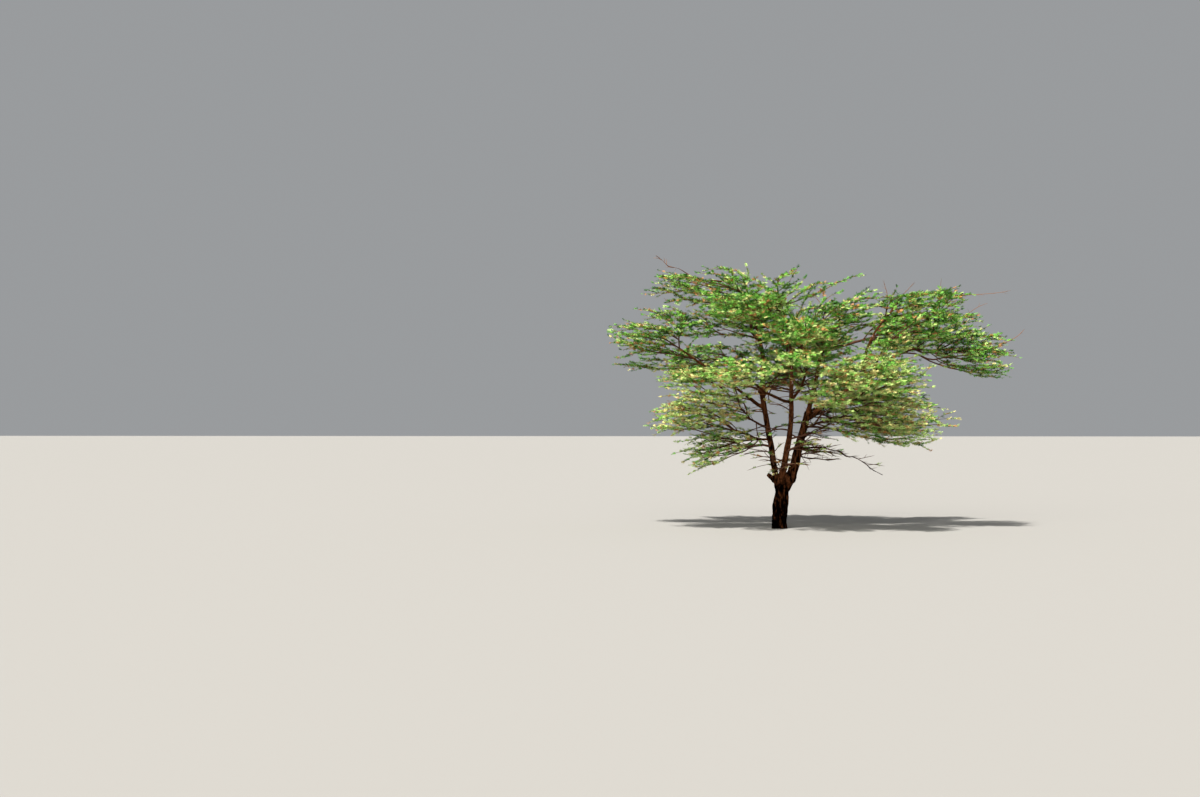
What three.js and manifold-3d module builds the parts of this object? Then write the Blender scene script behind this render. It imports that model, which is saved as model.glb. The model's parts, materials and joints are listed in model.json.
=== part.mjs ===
// An acacia tree: a short trunk that forks low, three stems, boughs that fan out from them, and
// flat, layered masses of foliage.
// Millimetres, +Z up. +X is to the viewer's right and +Y is away from the viewer. The origin is
// in the middle of the flat cut under the trunk, at ground level.
import * as THREE from "three";
import { mergeVertices } from "three/addons/utils/BufferGeometryUtils.js";
import Module from "manifold-3d";

// Driving dimensions of the trunk.
const FOOT_ACROSS = 345;
const BARREL_ACROSS = 335;
const WAIST_ACROSS = 290;
const FORK_ACROSS = 480;
const FORK_HEIGHT = 1090;
const FORK_CREST = 35;
const FORK_LEAN = 110;
const ROOT_RIBS = 5;

// Widths of the trunk at shares of its height, how deep it is front to back as a share of that,
// and how far its ribs stand out.
const TRUNK_LEVELS = [
  { height: 0, across: 1.1 * FOOT_ACROSS, deep: 0.95, ribs: 0.08 },
  { height: 0.06, across: FOOT_ACROSS, deep: 0.95, ribs: 0.06 },
  { height: 0.2, across: 0.94 * FOOT_ACROSS, deep: 0.95, ribs: 0.04 },
  { height: 0.47, across: BARREL_ACROSS, deep: 0.95, ribs: 0.035 },
  { height: 0.62, across: 0.95 * BARREL_ACROSS, deep: 0.95, ribs: 0.035 },
  { height: 0.75, across: WAIST_ACROSS, deep: 0.95, ribs: 0.03 },
  { height: 0.9, across: 0.85 * FORK_ACROSS, deep: 0.64, ribs: 0.04 },
  { height: 1, across: FORK_ACROSS, deep: 0.5, ribs: 0.04 },
];

// How finely the faceted solids are made.
const TRUNK_SIDES = 12;
const LIMB_SIDES = 6;
const LIMB_STEPS = 6;
const MASS_SIDES = 14;
const MASS_TIERS = 6;

// The gap that a cut piece keeps to its neighbour.
const GAP = 0.6;

// Unevenness of the surfaces, as shares of their size, and the taper of a limb.
const TRUNK_UNEVEN = 0.03;
const LIMB_UNEVEN = 0.07;
const LIMB_TAPER = 0.8;
const MASS_UNEVEN = 0.12;
const BUMPS = 0.2;

// Large odd numbers that scatter the unevenness, so that no two corners follow a pattern.
const PIECE_STRIDE = 127.1;
const CORNER_STRIDE = 311.7;
const SCATTER = 43758.5453;

// The shape of a mass seen from above, and how deep its underside is as a share of its top. The
// lobes fade out towards its start, by this power of the way round.
const FEWEST_LOBES = 5;
const LOBE_DEPTH = 0.24;
const LOBE_FADE = 4;
const FAN = 0.18;
const UNDERSIDE = 0.75;

const METRE = 1000;
const BARK = new THREE.MeshStandardMaterial({ color: 0x4a3428, roughness: 0.9, metalness: 0 });
const LEAF = new THREE.MeshStandardMaterial({ color: 0x6f8a3c, roughness: 0.8, metalness: 0 });

// Limbs, in metres. Each starts at a point or at a share of the way along another limb, passes
// through "via" and ends at "to". "across" is its thickness at the start and at the end, in mm.
const STEMS = [
  { name: "left_stem", from: [-0.06, 0.03, 1.05], via: [-0.2, 0.1, 1.98], to: [-0.41, 0.14, 3.08],
    across: [150, 122] },
  { name: "right_stem", from: [0.22, 0.02, 1.03], via: [0.42, -0.03, 1.75], to: [0.6, 0.0, 2.46],
    across: [250, 175] },
  { name: "middle_stem", from: [0.01, -0.05, 1.05], via: [0.27, -0.2, 2.55], to: [0.22, -0.05, 4.5],
    across: [170, 72] },
  { name: "upper_left_stem", on: "left_stem", at: 0.97, via: [-0.42, 0.08, 4.25],
    to: [-0.98, 0.0, 5.5], across: [150, 45] },
  { name: "upper_right_stem", on: "right_stem", at: 0.96, via: [0.8, 0.2, 3.15],
    to: [0.95, 0.3, 4.1], across: [130, 70] },
  { name: "right_bough", on: "right_stem", at: 0.96, via: [1.3, -0.12, 2.95],
    to: [1.98, -0.1, 3.32], across: [140, 95] },
  { name: "rising_right_stem", on: "right_bough", at: 0.97, via: [1.98, -0.06, 4.12],
    to: [2.62, -0.1, 4.95], across: [85, 45] },
];

// Each of these ends in the mass of foliage named by "into".
const BOUGHS = [
  { name: "long_left_bough", on: "left_stem", at: 0.82, via: [-1.45, 0.02, 3.5],
    to: [-2.75, 0.1, 4.4], across: [90, 45], into: "far_left_mass" },
  { name: "left_lower_bough", on: "left_stem", at: 0.6, via: [-0.86, -0.25, 2.55],
    to: [-1.7, -0.8, 2.72], across: [60, 34], into: "left_lower_mass" },
  { name: "left_low_bough", on: "left_stem", at: 0.5, via: [-0.98, -0.2, 1.93],
    to: [-1.72, -0.42, 1.5], across: [58, 26], into: "left_lowest_mass" },
  { name: "left_back_bough", on: "upper_left_stem", at: 0.2, via: [-1.0, 0.8, 3.75],
    to: [-1.9, 1.7, 4.05], across: [75, 40], into: "left_back_mass" },
  { name: "front_left_bough", on: "middle_stem", at: 0.57, via: [-0.42, -0.75, 3.12],
    to: [-0.72, -1.9, 3.52], across: [80, 42], into: "front_left_mass" },
  { name: "front_bough", on: "middle_stem", at: 0.59, via: [0.52, -0.95, 3.25],
    to: [0.6, -2.2, 3.64], across: [72, 40], into: "front_mass" },
  { name: "front_right_bough", on: "right_bough", at: 0.45, via: [1.42, -0.75, 3.22],
    to: [1.95, -1.8, 3.5], across: [70, 40], into: "front_right_mass" },
  { name: "back_bough", on: "left_stem", at: 0.92, via: [-0.05, 1.3, 3.45],
    to: [0.4, 2.5, 3.7], across: [80, 42], into: "back_mass" },
  { name: "back_right_bough", on: "upper_right_stem", at: 0.3, via: [1.3, 1.1, 3.35],
    to: [2.2, 2.1, 3.6], across: [75, 40], into: "back_right_mass" },
  { name: "upper_right_bough", on: "right_bough", at: 0.95, via: [2.52, -0.1, 3.82],
    to: [3.6, -0.1, 4.2], across: [78, 42], into: "far_right_mass" },
  { name: "drooping_right_bough", on: "right_bough", at: 0.96, via: [2.58, -0.2, 3.15],
    to: [3.2, -0.27, 2.88], across: [60, 34], into: "drooping_right_mass" },
  { name: "right_lower_bough", on: "right_stem", at: 0.82, via: [1.05, -0.45, 2.4],
    to: [1.9, -0.65, 2.38], across: [62, 34], into: "right_lower_mass" },
  { name: "right_back_low_bough", on: "right_stem", at: 0.9, via: [1.2, 0.6, 2.8],
    to: [2.1, 1.3, 2.9], across: [60, 34], into: "right_back_low_mass" },
];

// Limbs that carry no leaves.
const BARE_LIMBS = [
  { name: "broken_low_branch", on: "right_stem", at: 0.4, via: [0.82, -0.12, 1.58],
    to: [1.17, -0.16, 1.55], across: [42, 26] },
  { name: "bare_low_branch", on: "right_stem", at: 0.52, via: [1.32, -0.3, 1.72],
    to: [2.27, -0.5, 1.2], across: [46, 14] },
  { name: "bare_top_twig", from: [-1.6, -0.2, 5.5], via: [-2.16, -0.27, 5.76],
    to: [-2.74, -0.34, 6.1], across: [34, 10] },
];

// Masses of foliage, in metres. Each is an uneven plate that reaches from its start, a point or a
// share of the way along a limb, to its furthest "tip". "arch" lifts its middle above that line.
const MASSES = [
  { name: "top_mass", from: [-0.1, 0.15, 5.26], tip: [-1.7, -0.1, 5.76],
    wide: 1.6, thick: 0.46, arch: 0.06 },
  { name: "upper_left_mass", on: "upper_left_stem", at: 0.82, tip: [-2.87, -0.35, 5.62],
    wide: 2.4, thick: 0.52, arch: 0.02 },
  { name: "top_right_mass", from: [-0.72, -0.05, 5.02], tip: [0.5, -0.7, 5.7],
    wide: 1.1, thick: 0.46, arch: -0.04 },
  { name: "long_plume_mass", on: "upper_left_stem", at: 0.76, tip: [1.64, 0.6, 5.68],
    wide: 0.7, thick: 0.3, arch: 0 },
  { name: "heart_mass", from: [-1.6, 0.1, 4.56], tip: [0.45, -0.3, 4.84],
    wide: 1.8, thick: 0.78, arch: 0.04 },
  { name: "top_back_mass", on: "upper_left_stem", at: 0.74, tip: [-0.6, 2.9, 5],
    wide: 2.8, thick: 0.74, arch: 0.08 },
  { name: "top_front_mass", on: "upper_left_stem", at: 0.72, tip: [-1, -2.6, 4.84],
    wide: 2.4, thick: 0.54, arch: 0.08 },
  { name: "far_left_upper_mass", from: [-1.1, -0.15, 4.44], tip: [-3.1, -0.5, 4.78],
    wide: 1.6, thick: 0.54, arch: 0 },
  { name: "far_left_mass", from: [-2.1, 0.1, 4.12], tip: [-3.93, 0.2, 4.46],
    wide: 2.1, thick: 0.54, arch: 0.02 },
  { name: "left_under_mass", on: "long_left_bough", at: 0.62, tip: [-3.68, 0.6, 3.8],
    wide: 1.6, thick: 0.44, arch: 0.06 },
  { name: "left_mid_mass", on: "front_left_bough", at: 0.55, tip: [-2.75, -1.7, 3.1],
    wide: 2, thick: 0.7, arch: 0.1 },
  { name: "left_back_mass", from: [-0.5, 0.9, 3.72], tip: [-2.75, 2.4, 3.72],
    wide: 2.6, thick: 0.84, arch: 0.06 },
  { name: "left_lower_mass", from: [-0.55, -0.2, 2.68], tip: [-2.95, -0.6, 2.42],
    wide: 2.7, thick: 0.7, arch: 0.1 },
  { name: "left_low_mass", on: "left_low_bough", at: 0.15, tip: [-2.2, -0.1, 1.84],
    wide: 2, thick: 0.6, arch: 0.04 },
  { name: "left_lowest_mass", from: [-1.05, -0.35, 1.72], tip: [-1.9, -0.5, 1.46],
    wide: 0.9, thick: 0.32, arch: 0 },
  { name: "front_left_mass", from: [-0.3, -1.05, 3.44], tip: [-1.1, -3.1, 3.4],
    wide: 2, thick: 0.56, arch: 0.06 },
  { name: "front_mass", from: [0.4, -1.1, 3.58], tip: [0.75, -3.65, 3.46],
    wide: 2.2, thick: 0.5, arch: 0.1 },
  { name: "front_right_mass", from: [1.1, -0.65, 3.52], tip: [2.85, -2.9, 3.12],
    wide: 2.2, thick: 0.74, arch: 0.1 },
  { name: "front_low_mass", on: "front_bough", at: 0.25, tip: [1.7, -2.9, 2.9],
    wide: 1.6, thick: 0.54, arch: 0.04 },
  { name: "centre_top_mass", from: [-0.05, 0.1, 4.46], tip: [2.45, -0.15, 4.8],
    wide: 2.1, thick: 0.7, arch: 0.09 },
  { name: "centre_mass", from: [-0.95, 0.15, 3.98], tip: [1.92, -0.45, 4.42],
    wide: 1.9, thick: 0.6, arch: 0 },
  { name: "centre_front_mass", on: "middle_stem", at: 0.96, tip: [0.5, -2.75, 4.2],
    wide: 2.3, thick: 0.54, arch: 0.1 },
  { name: "centre_back_mass", on: "upper_right_stem", at: 0.97, tip: [0.7, 3.3, 4.3],
    wide: 2.8, thick: 0.7, arch: 0.1 },
  { name: "back_mass", from: [0.1, 0.9, 3.62], tip: [0.4, 3.8, 3.56],
    wide: 2.7, thick: 0.68, arch: 0.08 },
  { name: "back_right_mass", from: [1.3, 0.95, 3.4], tip: [2.9, 3.1, 3.2],
    wide: 2.5, thick: 0.74, arch: 0.06 },
  { name: "right_back_mass", on: "rising_right_stem", at: 0.66, tip: [3.6, 2.8, 4.4],
    wide: 2.3, thick: 0.7, arch: 0.08 },
  { name: "right_top_mass", from: [1.9, -0.1, 4.84], tip: [4.3, -0.35, 5.06],
    wide: 2.2, thick: 0.54, arch: 0.04 },
  { name: "right_plume_mass", from: [2.7, 0.05, 5.08], tip: [1.24, 0.35, 5.08],
    wide: 0.5, thick: 0.22, arch: 0.1 },
  { name: "right_mid_mass", on: "rising_right_stem", at: 0.66, tip: [4.4, -1.1, 4.5],
    wide: 2.2, thick: 0.58, arch: 0.05 },
  { name: "far_right_upper_mass", on: "upper_right_bough", at: 0.72, tip: [5.22, 0.6, 4.06],
    wide: 2, thick: 0.48, arch: 0.14 },
  { name: "far_right_mass", from: [2.95, -0.15, 4], tip: [5.3, -0.3, 3.6],
    wide: 2, thick: 0.7, arch: 0.06 },
  { name: "right_inner_mass", on: "rising_right_stem", at: 0.3, tip: [2.75, -1.2, 3.94],
    wide: 1.6, thick: 0.6, arch: 0.04 },
  { name: "right_lower_front_mass", on: "right_bough", at: 0.35, tip: [3.35, -2, 2.3],
    wide: 1.9, thick: 0.68, arch: 0.14 },
  { name: "right_lower_mass", from: [0.75, -0.35, 2.46], tip: [3.45, -0.6, 2],
    wide: 2.2, thick: 0.66, arch: 0.12 },
  { name: "right_back_low_mass", from: [0.95, 0.7, 2.66], tip: [3.1, 2, 2.34],
    wide: 2.3, thick: 0.64, arch: 0.08 },
  { name: "drooping_right_mass", from: [2.35, -0.2, 3.2], tip: [4.12, -0.4, 2.26],
    wide: 0.85, thick: 0.42, arch: -0.08 },
];

const wasm = await Module();
wasm.setup();

const limbs = [...STEMS, ...BOUGHS, ...BARE_LIMBS];
const curves = new Map();
for (const limb of limbs) curves.set(limb.name, limbCurve(limb));

// A repeatable unevenness between -1 and 1 for a numbered corner of a numbered piece.
function uneven(piece, corner) {
  const value = Math.sin(piece * PIECE_STRIDE + corner * CORNER_STRIDE) * SCATTER;
  return 2 * (value - Math.floor(value)) - 1;
}

function metres(place) {
  return new THREE.Vector3(...place).multiplyScalar(METRE);
}

function startOf(piece) {
  return piece.on ? curves.get(piece.on).getPoint(piece.at) : metres(piece.from);
}

// A closed solid from a stack of rings with the same number of corners, capped at both ends.
function loft(rings, firstCap, lastCap) {
  const sides = rings[0].length;
  const corners = rings.flat().concat([firstCap, lastCap]);
  const first = corners.length - 2;
  const last = corners.length - 1;
  const faces = [];
  for (let side = 0; side < sides; side += 1) {
    const next = (side + 1) % sides;
    faces.push(first, next, side);
    for (let ring = 0; ring + 1 < rings.length; ring += 1) {
      const low = ring * sides;
      const high = low + sides;
      faces.push(low + side, low + next, high + next);
      faces.push(low + side, high + next, high + side);
    }
    const top = (rings.length - 1) * sides;
    faces.push(last, top + side, top + next);
  }
  const vertProperties = new Float32Array(corners.flatMap((corner) => corner.toArray()));
  const triVerts = new Uint32Array(faces);
  return new wasm.Manifold(new wasm.Mesh({ numProp: 3, vertProperties, triVerts }));
}

// The trunk: a low root flare, a fat barrel, a waist, and a broad oval top where the stems leave.
function trunkSolid(grow) {
  const rings = TRUNK_LEVELS.map(({ height, across, deep, ribs }, level) => {
    const lean = FORK_LEAN * height * height;
    return Array.from({ length: TRUNK_SIDES }, (_, side) => {
      const angle = (2 * Math.PI * side) / TRUNK_SIDES;
      const rib = 1 + ribs * Math.cos(ROOT_RIBS * angle + 2 * height);
      const radius = (across / 2) * rib * (1 + TRUNK_UNEVEN * uneven(level, side)) + grow;
      const top = height === 1 ? grow : 0;
      return new THREE.Vector3(
        lean + radius * Math.cos(angle),
        deep * radius * Math.sin(angle),
        FORK_HEIGHT * height + top,
      );
    });
  });
  const crest = new THREE.Vector3(FORK_LEAN, 0, FORK_HEIGHT + FORK_CREST + grow);
  return loft(rings, new THREE.Vector3(0, 0, 0), crest);
}

// The centre line of a limb, from its start through "via" to its end.
function limbCurve(limb) {
  const start = startOf(limb);
  const end = metres(limb.to);
  const control = metres(limb.via).multiplyScalar(2);
  control.addScaledVector(start, -0.5).addScaledVector(end, -0.5);
  return new THREE.QuadraticBezierCurve3(start, control, end);
}

// A tapering limb along its centre line, a little uneven, with a blunt point at its end.
function limbSolid(limb, grow) {
  const curve = curves.get(limb.name);
  const number = limbs.indexOf(limb);
  const { normals, binormals } = curve.computeFrenetFrames(LIMB_STEPS, false);
  const [base, tip] = limb.across;
  const foot = curve.getPoint(0).addScaledVector(curve.getTangent(0), -grow);
  const rings = normals.map((normal, step) => {
    const middle = step === 0 ? foot : curve.getPoint(step / LIMB_STEPS);
    const half = THREE.MathUtils.lerp(base, tip, (step / LIMB_STEPS) ** LIMB_TAPER) / 2;
    return Array.from({ length: LIMB_SIDES }, (_, side) => {
      const angle = (2 * Math.PI * side) / LIMB_SIDES;
      const radius = half * (1 + LIMB_UNEVEN * uneven(number, step * LIMB_SIDES + side)) + grow;
      return middle
        .clone()
        .addScaledVector(normal, radius * Math.cos(angle))
        .addScaledVector(binormals[step], radius * Math.sin(angle));
    });
  });
  const blunt = curve.getTangent(1).multiplyScalar(tip / 2 + grow);
  return loft(rings, foot, curve.getPoint(1).add(blunt));
}

// A mass of foliage: a plate with a lobed outline that widens towards its tip, thins out at its
// rim and is arched between its start and its tip. Its underside is flatter than its top.
function massSolid(mass, grow) {
  const number = MASSES.indexOf(mass);
  const start = startOf(mass);
  const tip = metres(mass.tip);
  const middle = start.clone().lerp(tip, 0.5);
  const outward = new THREE.Vector3(tip.x - start.x, tip.y - start.y, 0);
  const halfLength = outward.length() / 2;
  outward.normalize();
  const sideways = new THREE.Vector3(-outward.y, outward.x, 0);
  const halfWidth = (mass.wide * METRE) / 2;
  const halfThick = (mass.thick * METRE) / 2;
  const lobes = FEWEST_LOBES + (number % 3);

  const place = (along, across, up) => {
    const share = along / halfLength;
    const lift = mass.arch * METRE * (1 - share * share) + ((tip.z - start.z) / 2) * share;
    return middle
      .clone()
      .addScaledVector(outward, along)
      .addScaledVector(sideways, across)
      .add(new THREE.Vector3(0, 0, lift + up));
  };
  const outline = (side, angle) => {
    const lobed = 1 - ((1 - Math.cos(angle)) / 2) ** LOBE_FADE;
    const notch = LOBE_DEPTH * (0.5 - 0.5 * Math.cos(lobes * angle));
    return 1 - lobed * (notch + MASS_UNEVEN * (0.5 + 0.5 * uneven(number, side)));
  };

  const rings = [];
  for (let tier = 1; tier < MASS_TIERS; tier += 1) {
    const slope = Math.PI * (tier / MASS_TIERS - 0.5);
    const deep = slope < 0 ? UNDERSIDE * halfThick : halfThick;
    rings.push(Array.from({ length: MASS_SIDES }, (_, side) => {
      const angle = (2 * Math.PI * side) / MASS_SIDES;
      const rim = Math.cos(slope) * outline(side, angle);
      const fan = 1 - FAN + FAN * Math.cos(angle);
      const bump = 1 + BUMPS * uneven(number, tier * MASS_SIDES + side);
      return place(
        (halfLength * rim + grow) * Math.cos(angle),
        (halfWidth * rim * fan + grow) * Math.sin(angle),
        (deep * bump + grow) * Math.sin(slope),
      );
    }));
  }
  return loft(rings, place(0, 0, -UNDERSIDE * halfThick - grow), place(0, 0, halfThick + grow));
}

// The largest piece that is left of a solid once its neighbours are cut away from it.
function cutBy(solid, neighbours) {
  const rest = neighbours.reduce((body, neighbour) => body.subtract(neighbour), solid);
  const pieces = rest.decompose();
  return pieces.reduce((largest, piece) => (piece.volume() > largest.volume() ? piece : largest));
}

function meshOf(name, solid, material) {
  const { vertProperties, triVerts } = solid.getMesh();
  const geometry = new THREE.BufferGeometry();
  geometry.setAttribute("position", new THREE.BufferAttribute(vertProperties, 3));
  geometry.setIndex(new THREE.BufferAttribute(triVerts, 1));
  const merged = mergeVertices(geometry);
  merged.computeVertexNormals();
  const mesh = new THREE.Mesh(merged, material);
  mesh.name = name;
  return mesh;
}

const tree = new THREE.Group();
tree.add(meshOf("trunk", trunkSolid(0), BARK));

// Each limb is cut by the wood before it, and a bough ends where it enters its own mass.
const wood = [trunkSolid(GAP)];
for (const limb of limbs) {
  const ownMass = MASSES.filter((mass) => mass.name === limb.into).map((mass) => massSolid(mass, GAP));
  tree.add(meshOf(limb.name, cutBy(limbSolid(limb, 0), [...wood, ...ownMass]), BARK));
  wood.push(limbSolid(limb, GAP));
}

// A mass is cut round the limbs that run through it and round the masses before it.
const foliage = [];
for (const mass of MASSES) {
  const passing = limbs.filter((limb) => limb.into !== mass.name).map((limb) => limbSolid(limb, GAP));
  tree.add(meshOf(mass.name, cutBy(massSolid(mass, 0), [...passing, ...foliage]), LEAF));
  foliage.push(massSolid(mass, GAP));
}

export default tree;
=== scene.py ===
"""The looks of the acacia tree: bark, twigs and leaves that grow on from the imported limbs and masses.

Everything is in metres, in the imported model's frame: the foot of the trunk is at the origin,
Z is up and the photograph looks nearly along +Y.
"""

import heapq
import json
import math

import bmesh
import bpy
import numpy as np
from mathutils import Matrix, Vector, kdtree, noise
from mathutils.bvhtree import BVHTree

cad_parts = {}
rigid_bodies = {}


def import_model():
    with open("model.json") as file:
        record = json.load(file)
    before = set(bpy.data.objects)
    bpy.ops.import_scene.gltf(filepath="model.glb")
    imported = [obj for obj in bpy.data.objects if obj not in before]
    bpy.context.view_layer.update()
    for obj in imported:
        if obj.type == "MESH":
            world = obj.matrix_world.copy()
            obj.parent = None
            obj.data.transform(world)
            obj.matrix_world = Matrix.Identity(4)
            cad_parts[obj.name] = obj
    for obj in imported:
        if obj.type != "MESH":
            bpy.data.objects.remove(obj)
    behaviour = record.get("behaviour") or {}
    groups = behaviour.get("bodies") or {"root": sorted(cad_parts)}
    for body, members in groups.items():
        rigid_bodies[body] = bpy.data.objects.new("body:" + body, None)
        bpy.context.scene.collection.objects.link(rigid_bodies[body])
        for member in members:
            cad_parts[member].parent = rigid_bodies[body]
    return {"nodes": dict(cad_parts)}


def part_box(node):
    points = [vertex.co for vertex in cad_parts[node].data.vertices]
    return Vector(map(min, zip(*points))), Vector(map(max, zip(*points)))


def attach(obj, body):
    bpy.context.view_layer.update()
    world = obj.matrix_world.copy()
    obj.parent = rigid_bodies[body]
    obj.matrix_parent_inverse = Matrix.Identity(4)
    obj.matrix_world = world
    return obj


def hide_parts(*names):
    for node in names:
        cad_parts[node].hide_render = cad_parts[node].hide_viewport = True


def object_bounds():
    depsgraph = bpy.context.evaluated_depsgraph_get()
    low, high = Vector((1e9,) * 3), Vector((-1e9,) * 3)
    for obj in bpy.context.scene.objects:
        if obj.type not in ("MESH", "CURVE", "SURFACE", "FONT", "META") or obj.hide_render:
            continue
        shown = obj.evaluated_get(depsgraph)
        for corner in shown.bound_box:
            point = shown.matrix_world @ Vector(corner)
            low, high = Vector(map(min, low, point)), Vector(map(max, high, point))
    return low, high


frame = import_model()
cad_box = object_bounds()

SEED = 29
UP = np.array((0.0, 0.0, 1.0))
NONE = -1
MASSES = sorted(name for name in frame["nodes"] if name.endswith("_mass"))
LIMBS = sorted(name for name in frame["nodes"] if not name.endswith("_mass"))
THIN_LIMBS = ("broken_low_branch", "bare_low_branch", "bare_top_twig")
MIDDLES = np.array([sum(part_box(name), Vector()) / 2 for name in MASSES])

# The middle of the crown, from which the sprays run outwards.
HUB = np.array((0.4, 0.0, 3.2))

# The photograph's camera: its eye, its lens on a 36 mm sensor, and where it points.
EYE = (0.0, -37.6, 2.26)
LENS = 50.0
YAW = math.radians(6.13)
PITCH = math.radians(1.0)
SEES_TO = 1000

# Each light's name, strength, spread in degrees and direction. The sky lights the shade. A finish,
# here and below, is a roughness and a specular level.
LIGHTS = (
    ("sun", 8.0, 2, (0.2, 0.6, -0.95)),
    ("fill", 3.0, 60, (0.2, 0.95, -0.3)),
)
LIGHT_COLOUR = (1.0, 0.97, 0.91)
SKY_COLOUR = (0.94, 0.97, 1.0)
SKY_STRENGTH = 0.34
FLOOR_REACH = 400
FLOOR_COLOUR = (0.265, 0.258, 0.247)
FLOOR_FINISH = (0.95, 0.3)

# How a limb's centre line is read from its solid: the space between the cuts through it, the
# fewest cuts, and how thick the limb is at its very end against the last cut.
CUT_EVERY = 0.14
FEWEST_CUTS = 5
END_TAPER = 0.92

# How a limb wanders: the space between its stations, how far it strays and how often, the length
# over which that sets in, and how knobbly it is. The second of a pair is for thin limbs, and only
# they are knobbly. NEARLY_UPRIGHT is the rise per metre from which a line counts as upright.
STATION = 0.06
CROOK = (0.03, 0.06)
CROOK_EVERY = (0.45, 0.25)
CROOK_FADE = 0.4
KNOBBLY = 0.9
KNOBBLY_EVERY = 0.12
NEARLY_UPRIGHT = 0.9

# The trunk and boughs, made as one skin of bark that is cut flat at the ground. What is lower than
# AT_GROUND lies on it. The top of the trunk is lowered a little, so that the fork has the
# photograph's outline, and KNOB is the broken stub beside it.
SKIN_VOXEL = 0.0145
SKIN_SIDES = 12
BELOW_GROUND = 0.08
AT_GROUND = 1e-4
TRUNK_TOP = 1.1
KNOB = ((-0.10, -0.02, 1.06), (-0.17, -0.03, 1.14), (-0.255, -0.05, 1.215))
KNOB_RADII = (0.058, 0.052, 0.042)

# Fissures between the plates of bark: their spacing across and along a limb, closer where it is
# thinner than CLOSER_UNDER, and their depth as a share of its radius and at most. LIMB_SHIFT gives
# each limb another part of the pattern.
FISSURE = (0.028, 0.17)
CLOSER_UNDER = 0.12
CLOSEST = 0.45
FISSURE_DEPTH = 0.09
FISSURE_MOST = 0.018
LIMB_SHIFT = 3.7

# The shape of the fissures, in shares of that depth: the cut and its width and edge, and the plates'
# height and lumps.
CUT_DEPTH = 1.3
CUT_WIDTH = 0.2
CUT_EDGE = 1.5
PLATE_HEIGHT = 0.35
PLATE_LUMPS = 1.1
LUMP_SCALE = 0.35

# Broad swellings, which fade on limbs thinner than SWELL_FROM.
SWELL = 0.016
SWELL_EVERY = 0.22
SWELL_FROM = 0.15

# The bark's colours from furrow to plate, darkened nearly to black as painted shade of the crown on the
# trunk, and the red-brown plates are in part painted sunlit patches. Red plates come more often with
# height and on the middle stem, where BLUR is how far the change strays from the edge of that stem.
# The change with height is painted light: sunlit limbs in the crown, and the trunk in shade below it.
BARK_AND_SHADE_STOPS = ((0.48, (0.0004, 0.0002, 0.0001)), (0.84, (0.12, 0.042, 0.016)), (1.0, (1.0, 1.0, 1.0)))
BARK_FINISH = (0.95, 0.0)
PAINTED_SUN_HEIGHTS = (0.2, 3.8)
PAINTED_SUN_BY_HEIGHT = (-0.06, 0.2)
RED_STEM = 0.08
BLUR = 0.1

# How twigs fill the masses: the space between twigs along a layer and between layers, how uneven
# both are, how far they hang below a mass at least THICK_MASS thick, the thinnest part of a mass
# that is filled, and how far the top layer lies under its top.
SPACING = 0.124
LAYER = 0.165
JITTER = 0.4
UNEVEN = 0.025
UNDERHANG = 0.15
THICK_MASS = 0.6
THINNEST = 0.05
RIM_DEPTH = 0.025

# The gaps between sprays: they come as often as STREAK says round the hub, outwards and upwards,
# and are wider towards the rim of a mass.
STREAK = (7.0, 0.5, 2.6)
OPEN_INSIDE = -0.28
OPEN_AT_RIM = 0.4

# How twigs find their way: the number of neighbours that a node looks at, and how strongly a twig
# keeps level, to the shortest way to the trunk, and to its own direction, apart from an easy turn.
REACH = 26
LEVEL = 1.5
THRIFT = 0.5
TURN = 0.9
EASY_TURN = 0.7

# A twig's longest step, its bend, and the length from which it bears leaves at its end only.
LONGEST = 0.12
BEND = 0.07
FEEDER = 0.3

# How thick twigs are: at a tip, for each step from it, by which power they add up where they join,
# and at most on a limb.
TIP_RADIUS = 0.0028
GROWTH = 0.0014
PIPE = 2.2
MOST_ON_LIMB = 0.75

# The last shoots: short ones among others, and long ones where the air ahead is open.
SHORT_TIP = (0.05, 0.12)
LONG_TIP = (0.14, 0.38)
PROBE = 0.24
CLEAR = 0.12
TIP_STEP = 0.08
TIP_WANDER = 0.09

# Where they point: flatter than the twig, outwards from the hub, rising above it and drooping below.
# OUTSIDE_CAD is how far they may reach past the CAD box.
FLATTER = 0.3
OUTWARD = 0.6
RISE = 0.12
DROOP = 0.55
FIRST_WANDER = 0.12
OUTSIDE_CAD = 0.16

# Thin, nearly level branches along the limbs, which the photograph shows dark under the crown: the
# space between them, their shortest and longest, where they start, and how they head and wander.
# Short ones come more often. The inner part is bare, and some of the rest bears leaves.
BARE_STEP = 0.075
BARE_EVERY = {"stem": 0.08, "bough": 0.11, "branch": 0.06, "twig": 0.2}
BARE_LENGTH = {"stem": (0.15, 1.35), "bough": (0.2, 0.9), "branch": (0.06, 0.35), "twig": (0.1, 0.25)}
BARE_HEIGHTS = (1.35, 3.2)
BARE_RISE = (0.15, 0.35)
BARE_OUTWARD = 0.8
BARE_ONWARD = 0.3
MORE_SHORT = 1.6
BARE_LEVEL = 0.88
BARE_WANDER = 0.1
BARE_INNER = 0.5
BARE_LEAFY = 0.5
BARE_STOUT = 1.6

# Their forks: from which length, how often, and the turn, rise and length of the side branch.
FORK_FROM = 0.22
FORK_CHANCE = 0.4
FORK_TURN = (0.5, 1.0)
FORK_RISE = 0.2
FORK_LENGTH = (0.5, 0.9)

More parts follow.
